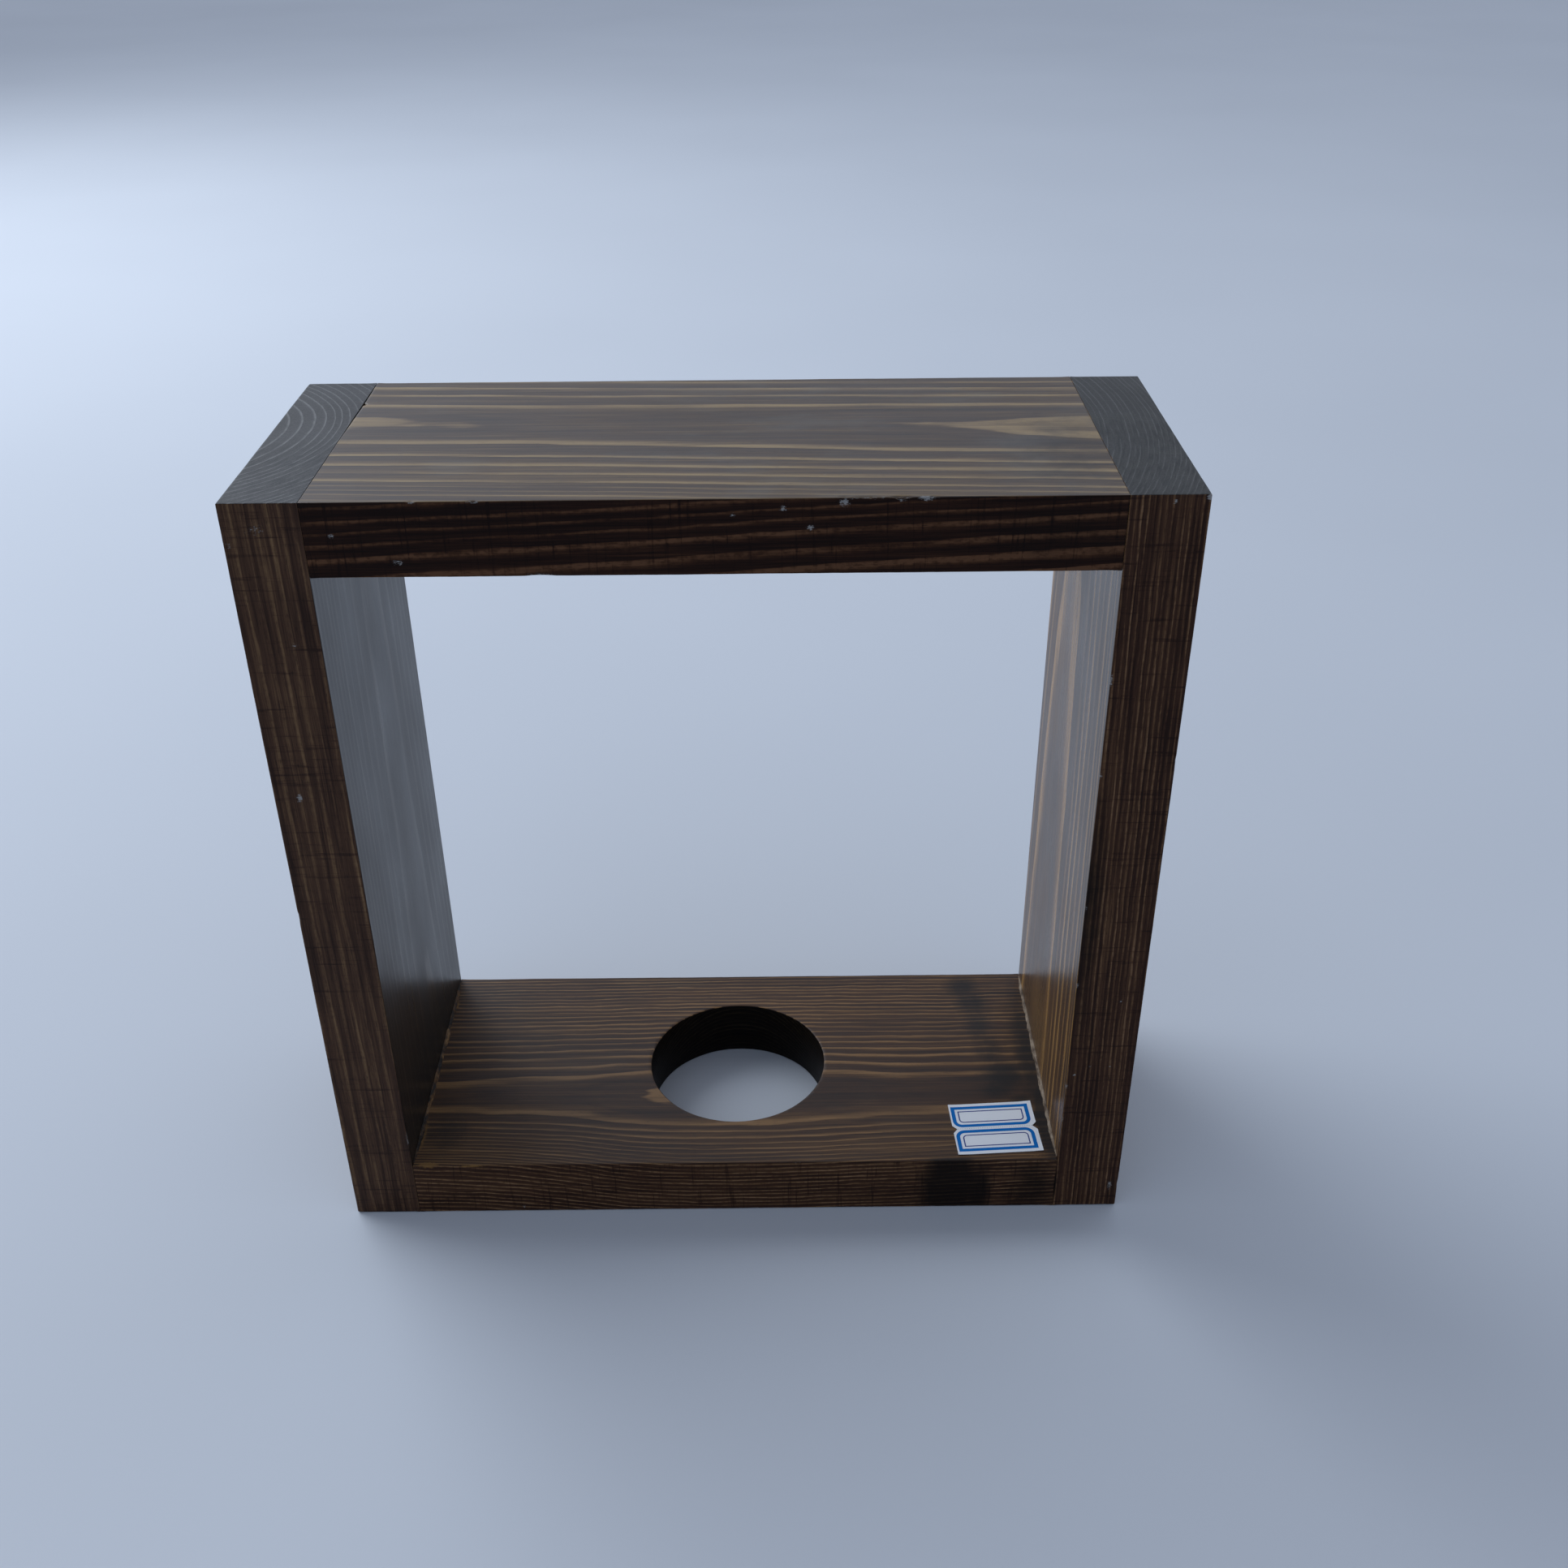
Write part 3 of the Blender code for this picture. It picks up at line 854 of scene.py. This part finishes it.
make_board(
    "left_side_board",
    3.0,
    dents=[
        ((-116.3, F, 240.9), (2.0, 0.8, 2.0), (0, 0.10, 0)),
        ((-123.5, F, 236.6), (0.9, 1.0, 1.2), (0.2, 0.2, 0)),
        ((-111.9, F, 208.2), (0.8, 1.0, 1.2), (0, 0.2, 0)),
        ((-117.9, F, 161.0), (1.2, 1.0, 2.2), (0, 0.25, 0)),
        ((-125.0, F, 120.0), (0.9, 0.9, 3.0), (0.25, 0.25, 0)),
    ],
    marks=[
        ("pale", (-116.3, F, 240.9), (4.5, 1.5, 3.0), 0.34),
        ("pale", (-123.5, F, 236.6), (1.0, 1.5, 1.4), 0.7),
        ("pale", (-111.9, F, 208.2), (0.9, 1.5, 1.3), 0.7),
        ("pale", (-117.9, F, 161.0), (1.3, 1.5, 2.6), 0.8),
        ("pale", (-104.4, F, 32.0), (0.8, 0.8, 6.0), 0.6),
        # A dark patch on the lower inner face: painted shade that stands in for a dark reflection.
        ("stain_and_shade_blot", (-104.4, -4.0, 22.0), (3.0, 66.0, 48.0), 1.25),
    ],
    fine=(((-116, 3, 0.6), (-118, 2, 0.5)), (), ((240.9, 3, 0.6), (236.6, 2, 0.5), (208.2, 2, 0.5), (161, 3, 0.5))),
)
make_board(
    "right_side_board",
    4.0,
    dents=[
        ((115.9, F, 246.1), (0.9, 1.0, 1.1), (0, 0.2, 0)),
        ((106.8, F, 56.5), (0.7, 1.0, 0.8), (0, 0.2, 0)),
        ((111.3, F, 60.1), (0.7, 1.0, 0.8), (0, 0.2, 0)),
        ((118.3, F, 85.8), (0.7, 1.0, 0.8), (0, 0.2, 0)),
        ((125.0, F, 9.0), (0.9, 0.9, 3.0), (-0.25, 0.25, 0)),
        ((125.0, F, 170.0), (0.8, 0.8, 2.2), (-0.25, 0.25, 0)),
    ],
    marks=[
        ("pale", (115.9, F, 246.1), (0.9, 1.5, 1.1), 0.9),
        ("pale", (106.8, F, 56.5), (0.7, 1.5, 0.8), 0.9),
        ("pale", (111.3, F, 60.1), (0.6, 1.5, 0.7), 0.8),
        ("pale", (117.6, F, 60.0), (0.6, 1.5, 0.7), 0.8),
        ("pale", (118.3, F, 85.8), (0.7, 1.5, 0.8), 0.8),
        ("pale", (122.3, F, 9.1), (1.2, 1.5, 3.2), 0.7),
        ("stain_and_shade_blot", (105.5, F, 118.0), (7.0, 4.0, 70.0), 0.70),
        ("amber", (104.4, 4.0, 34.0), (3.0, 52.0, 50.0), 0.56),
        *(("pale", (104.4, F, z), (1.1, 1.1, 1.3 * r), a) for z, r, a in ((195.5, 2.6, .75), (166, 1.0, .9), (121, 0.9, .6), (92, 1.1, .9), (52, 1.2, .8), (38, 1.7, .7))),
        ("pale", (124.6, F, 247.2), (1.6, 1.6, 1.6), 1.0),
        ("stain_and_shade_blot", (104.4, F, 10.0), (0.8, 2.0, 13.0), 1.0),
    ],
    fine=(((116, 2, 0.5), (107, 2, 0.5), (111.3, 1.5, 0.5), (118, 2, 0.5), (122, 2, 0.5)), (), ((246, 1.5, 0.5), (58, 4, 0.5), (85.8, 1.5, 0.5), (9, 4, 0.6))),
)


# ---------------------------------------------------------------- glue


def glue_material(name, stops, seed):
    material = bpy.data.materials.new(name)
    g = Graph(material)
    x, y, z = g.split(g.node("ShaderNodeTexCoord").outputs["Object"])
    x, y, z = (g.mul(v, 1000.0) for v in (x, y, z))
    run = g.noise(g.join(g.mul(x, 0.5), g.math("MULTIPLY_ADD", y, 0.16, seed), g.mul(z, 0.5)), detail=3.0, rough=0.6)
    grain = g.noise(g.join(g.mul(x, 2.2), g.mul(y, 1.1), g.mul(z, 2.2)), detail=3.0)
    tint = g.add(g.math("MULTIPLY_ADD", run, 1.7, -0.35), g.math("MULTIPLY_ADD", grain, 0.4, -0.2))
    colour = g.ramp(tint, stops)
    g.principled(
        Base_Color=colour,
        Roughness=g.math("MULTIPLY_ADD", grain, 0.25, 0.42),
        IOR=1.46,
        Specular_IOR_Level=0.22,
        Normal=g.bump(grain, 0.00030, 0.7),
    )
    return material


GLUE_DARK = [(0.0, (0.006, 0.004, 0.003)), (0.45, (0.020, 0.011, 0.006)), (0.68, (0.13, 0.062, 0.020)), (1.0, (0.34, 0.20, 0.085))]
GLUE_PALE = [(0.0, (0.020, 0.012, 0.008)), (0.30, (0.10, 0.062, 0.036)), (0.62, (0.29, 0.21, 0.14)), (1.0, (0.46, 0.37, 0.27))]


def make_glue(node, side, up, size, seed, stops):
    """Squeezed-out glue in an inner corner: a bead that swells, thins and has been wiped in places."""
    low, high = (np.array(v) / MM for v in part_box(node))
    corner_x = -side * 104.4  # the corner line; side points into the opening
    corner_z = 20.6 if up > 0 else 248.0 - 20.6
    start, end = low[1], high[1]
    stations, around = 150, 9
    points, faces = [], []
    for i in range(stations + 1):
        t = i / stations
        y = start + (end - start) * t
        swell = noise.noise(Vector((y / 9.0, seed, 0.0))) + 0.6 * noise.noise(Vector((y / 2.6, seed, 4.0)))
        taper = min(1.0, 6 * t + 0.25, 6 * (1 - t) + 0.25)
        for j in range(around):
            angle = math.pi / 2 * j / (around - 1)
            lump = noise.noise(Vector((y / 1.7, 1.4 * j / around, seed + 8.0)))
            r = (size * (1 + 0.55 * swell) + 0.12 * lump) * taper
            r = max(0.22, min(r, 1.72))
            # A bead that clings to both faces and sags a little between them
            hollow = 1 - 0.22 * math.sin(2 * angle)
            points.append(
                (
                    corner_x + side * (0.02 + r * hollow * math.cos(angle)),
                    y,
                    corner_z + up * (0.02 + r * hollow * math.sin(angle)),
                )
            )
        points.append((corner_x + side * 0.01, y, corner_z + up * 0.01))
    ring = around + 1
    for i in range(stations):
        for j in range(ring):
            k = (j + 1) % ring
            faces.append((i * ring + j, i * ring + k, (i + 1) * ring + k, (i + 1) * ring + j))
    faces.append(tuple(range(ring))[::-1])
    faces.append(tuple(stations * ring + j for j in range(ring)))
    mesh = bpy.data.meshes.new(node + "_bead")
    mesh.from_pydata([tuple(MM * v for v in p) for p in points], [], faces)
    bm = bmesh.new()
    bm.from_mesh(mesh)
    bmesh.ops.recalc_face_normals(bm, faces=bm.faces)
    bm.to_mesh(mesh)
    bm.free()
    mesh.shade_smooth()
    mesh.set_sharp_from_angle(angle=math.radians(60))
    mesh.materials.append(glue_material(node + "_glue", stops, seed))
    piece = bpy.data.objects.new(node + "_bead", mesh)
    scene.collection.objects.link(piece)
    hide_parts(node)
    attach(piece, "root")
    return piece


make_glue("glue_fillet_bottom_left", 1, 1, 1.00, 2.0, GLUE_DARK)
make_glue("glue_fillet_bottom_right", -1, 1, 0.90, 5.0, GLUE_PALE)
make_glue("glue_fillet_top_left", 1, -1, 0.45, 9.0, GLUE_DARK)
make_glue("glue_fillet_top_right", -1, -1, 0.45, 13.0, GLUE_DARK)


# ---------------------------------------------------------------- paper tab

TAB_W, TAB_H, TAB_TURN = 28.0, 23.4, math.radians(3.3)
NOTCH, NOTCH_HALF = 1.5, 1.7


def paper_material():
    material = bpy.data.materials.new("tab_paper")
    g = Graph(material)
    x, y, z = g.split(g.node("ShaderNodeTexCoord").outputs["Object"])
    where = g.join(g.mul(x, 1000.0), g.mul(y, 1000.0), g.mul(z, 1000.0))
    pulp = g.noise(where, scale=2.2, detail=5.0, rough=0.65)
    soil = g.noise(where, scale=0.16, detail=3.0)
    colour = g.mix(pulp, (0.95, 0.97, 0.995), (0.98, 0.99, 1.0))
    colour = g.mix(g.mul(g.step(soil, 0.5, 0.8), 0.10), colour, (0.66, 0.67, 0.69))
    g.principled(
        Base_Color=colour,
        Roughness=g.math("MULTIPLY_ADD", pulp, 0.15, 0.62),
        Normal=g.bump(pulp, 0.00002, 0.4),
    )
    return material


def ink_material(name, light, heavy):
    material = bpy.data.materials.new(name)
    g = Graph(material)
    x, y, z = g.split(g.node("ShaderNodeTexCoord").outputs["Object"])
    where = g.join(g.mul(x, 1000.0), g.mul(y, 1000.0), g.mul(z, 1000.0))
    press = g.noise(where, scale=1.6, detail=4.0, rough=0.7)
    shader = g.principled(
        Base_Color=g.mix(press, heavy, light),
        Roughness=g.math("MULTIPLY_ADD", press, 0.12, 0.60),
        Normal=g.bump(press, 0.00001, 0.3),
    )
    shader.inputs["Specular IOR Level"].default_value = 0.12
    return material


def cell_outline(left, right, near, far, round_near):
    """Outline of one printed frame: square corners away from the fold, round ones next to it."""
    sign = 1 if far > near else -1
    points = [(right, far), (left, far)]
    for cx, first in ((left + round_near, math.pi), (right - round_near, 1.5 * math.pi)):
        for i in range(9):
            angle = first + math.pi / 2 * i / 8
            points.append(
                (
                    cx + round_near * math.cos(angle),
                    near + sign * (round_near + round_near * math.sin(angle)),
                )
            )
    return points


def make_tab():
    low, high = (np.array(v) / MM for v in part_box("index_tab"))
    centre = (low + high) / 2
    bm = bmesh.new()
    floor_z = 20.6 + 0.03
    thick = 0.16

    def lift(u, v):
        """The paper lifts a little at its corners and along the fold."""
        corner = max(0.0, abs(u) / (TAB_W / 2) - 0.72) * max(0.0, abs(v) / (TAB_H / 2) - 0.60)
        side = 1.0 if u > 0 and v > 0 else 0.55
        return 2.2 * corner * side + 0.05 * math.exp(-((v / 1.2) ** 2))

    def place(u, v, above):
        c, s = math.cos(TAB_TURN), math.sin(TAB_TURN)
        return (
            (centre[0] + c * u - s * v) * MM,
            (centre[1] + s * u + c * v) * MM,
            (floor_z + above + lift(u, v)) * MM,
        )

    # Paper: rows of points from end to end, notched at the fold
    rows = sorted(
        {round(-TAB_H / 2 + TAB_H * i / 30, 4) for i in range(31)}
        | {0.0, NOTCH_HALF, -NOTCH_HALF, NOTCH_HALF / 2, -NOTCH_HALF / 2, 0.3, -0.3}
    )
    columns = 36
    top, under = [], []
    for v in rows:
        cut = NOTCH * max(0.0, 1 - abs(v) / NOTCH_HALF)
        half = TAB_W / 2 - cut
        top.append([bm.verts.new(place(-half + 2 * half * i / columns, v, thick)) for i in range(columns + 1)])
        under.append([bm.verts.new(place(-half + 2 * half * i / columns, v, 0.0)) for i in range(columns + 1)])
    for r in range(len(rows) - 1):
        for i in range(columns):
            bm.faces.new((top[r][i], top[r][i + 1], top[r + 1][i + 1], top[r + 1][i]))
            bm.faces.new((under[r][i], under[r + 1][i], under[r + 1][i + 1], under[r][i + 1]))
        bm.faces.new((top[r][0], top[r + 1][0], under[r + 1][0], under[r][0]))
        bm.faces.new((top[r][-1], under[r][-1], under[r + 1][-1], top[r + 1][-1]))
    for i in range(columns):
        bm.faces.new((top[0][i], under[0][i], under[0][i + 1], top[0][i + 1]))
        bm.faces.new((top[-1][i], top[-1][i + 1], under[-1][i + 1], under[-1][i]))
    bmesh.ops.recalc_face_normals(bm, faces=bm.faces)

    def ribbon(outer, inner, ink):
        """A printed line between two outlines of as many points."""
        dense = []
        steps = [max(2, math.ceil(math.dist(p, q) / 0.6)) for p, q in zip(outer, outer[1:] + outer[:1])]
        for ring in (outer, inner):
            verts = []
            for (u0, v0), (u1, v1), n in zip(ring, ring[1:] + ring[:1], steps):
                for i in range(n):
                    f = i / n
                    verts.append(bm.verts.new(place(u0 + (u1 - u0) * f, v0 + (v1 - v0) * f, thick + 0.022)))
            dense.append(verts)
        count = len(dense[0])
        for i in range(count):
            j = (i + 1) % count
            face = bm.faces.new((dense[0][i], dense[0][j], dense[1][j], dense[1][i]))
            face.material_index = ink
            face.normal_update()
            if face.normal.z < 0:
                face.normal_flip()

    for sign in (1, -1):
        near, far = sign * 0.72, sign * (TAB_H / 2 - 1.25)
        left, right = -TAB_W / 2 + 0.55, TAB_W / 2 - 1.40
        for gap, width, corner, ink in ((0.0, 1.25, 3.0, 1), (2.15, 0.40, 1.5, 3)):
            outer = cell_outline(left + gap, right - gap, near + sign * gap, far - sign * gap, corner)
            g2 = gap + width
            inner = cell_outline(left + g2, right - g2, near + sign * g2, far - sign * g2, max(0.5, corner - width))
            ribbon(outer, inner, ink)
    # Perforation along the fold
    for i in range(34):
        u = -12.2 + 24.4 * i / 33
        verts = [
            bm.verts.new(place(u + du, dv, thick + 0.012))
            for du, dv in ((-0.16, -0.07), (0.16, -0.07), (0.16, 0.07), (-0.16, 0.07))
        ]
        face = bm.faces.new(verts)
        face.material_index = 2
    mesh = bpy.data.meshes.new("index_tab_paper")
    bm.to_mesh(mesh)
    bm.free()
    mesh.materials.append(paper_material())
    mesh.materials.append(ink_material("tab_ink", (0.004, 0.20, 0.62), (0.001, 0.15, 0.50)))
    slit = bpy.data.materials.new("tab_slit")
    g = Graph(slit)
    grey = g.noise(g.node("ShaderNodeTexCoord").outputs["Object"], scale=900.0)
    g.principled(Base_Color=g.mix(grey, (0.20, 0.21, 0.24), (0.36, 0.37, 0.40)), Roughness=0.7)
    mesh.materials.append(slit)
    mesh.materials.append(ink_material("tab_ink_dark", (0.065, 0.095, 0.32), (0.040, 0.062, 0.24)))
    piece = bpy.data.objects.new("index_tab_paper", mesh)
    scene.collection.objects.link(piece)
    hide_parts("index_tab")
    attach(piece, "root")


make_tab()


# ---------------------------------------------------------------- dowels


def dowel_material():
    material = bpy.data.materials.new("beech_dowel")
    g = Graph(material)
    x, y, z = g.split(g.node("ShaderNodeTexCoord").outputs["Object"])
    x, y, z = (g.mul(v, 1000.0) for v in (x, y, z))
    ray = g.noise(g.join(g.mul(x, 0.5), g.mul(y, 4.0), g.mul(z, 4.0)), detail=3.0)
    band = g.noise(g.join(g.mul(x, 0.03), g.mul(y, 0.7), g.mul(z, 0.7)), detail=2.0)
    colour = g.mix(band, (0.34, 0.21, 0.11), (0.50, 0.34, 0.20))
    colour = g.mix(g.mul(g.step(ray, 0.52, 0.75), 0.55), colour, (0.20, 0.11, 0.055))
    g.principled(
        Base_Color=colour,
        Roughness=g.math("MULTIPLY_ADD", ray, 0.2, 0.5),
        Normal=g.bump(ray, 0.00005, 0.5),
    )
    return material


beech = dowel_material()
for node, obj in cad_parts.items():
    if node.startswith("dowel_"):
        obj.data.materials.clear()
        obj.data.materials.append(beech)


# ---------------------------------------------------------------- floor and light

floor_material = bpy.data.materials.new("pale_floor")
g = Graph(floor_material)
x, y, z = g.split(g.node("ShaderNodeTexCoord").outputs["Object"])
sweep = g.noise(g.join(x, y, 0.0), scale=2.3, detail=2.0)
g.principled(
    Base_Color=g.mix(sweep, (0.69, 0.71, 0.745), (0.765, 0.785, 0.82)), Roughness=0.85
)
bpy.ops.mesh.primitive_grid_add(x_subdivisions=8, y_subdivisions=8, size=24.0)
floor = bpy.context.active_object
floor.name = "floor"
floor.location.z = -0.0002
floor.data.materials.append(floor_material)

world = bpy.data.worlds.new("soft_daylight")
scene.world = world
g = Graph(world)
x, y, z = g.split(g.node("ShaderNodeTexCoord").outputs["Generated"])
behind = g.step(y, -0.45, 0.75)
ahead = g.step(g.mul(y, -1.0), 0.0, 0.6)
left = g.step(g.mul(x, -1.0), -0.2, 0.9)
high = g.step(z, 0.25, 0.95)
level = g.add(
    0.245,
    g.mul(behind, 0.335),
    g.mul(ahead, 0.16),
    g.mul(left, g.math("MULTIPLY_ADD", behind, 0.16, 0.10)),
)
level = g.mul(level, g.math("MULTIPLY_ADD", high, -0.12, 1.0))
sky = g.node("ShaderNodeBackground")
g.put(sky.inputs["Color"], g.mix(ahead, (0.85, 0.95, 1.14), (0.78, 0.95, 1.26)))
g.put(sky.inputs["Strength"], level)
output = g.node("ShaderNodeOutputWorld")
g.tree.links.new(sky.outputs[0], output.inputs[0])


def area(name, place, target, size, power, colour):
    data = bpy.data.lights.new(name, "AREA")
    data.shape, data.size, data.size_y = "RECTANGLE", size[0], size[1]
    data.energy, data.color = power, colour
    lamp = bpy.data.objects.new(name, data)
    scene.collection.objects.link(lamp)
    lamp.location = place
    lamp.rotation_mode = "QUATERNION"
    lamp.rotation_quaternion = (Vector(target) - Vector(place)).to_track_quat("-Z", "Y")


area("window", (-1.35, 1.05, 1.30), (-0.35, 0.3, 0.0), (1.6, 1.4), 20.5, (0.86, 0.95, 1.06))
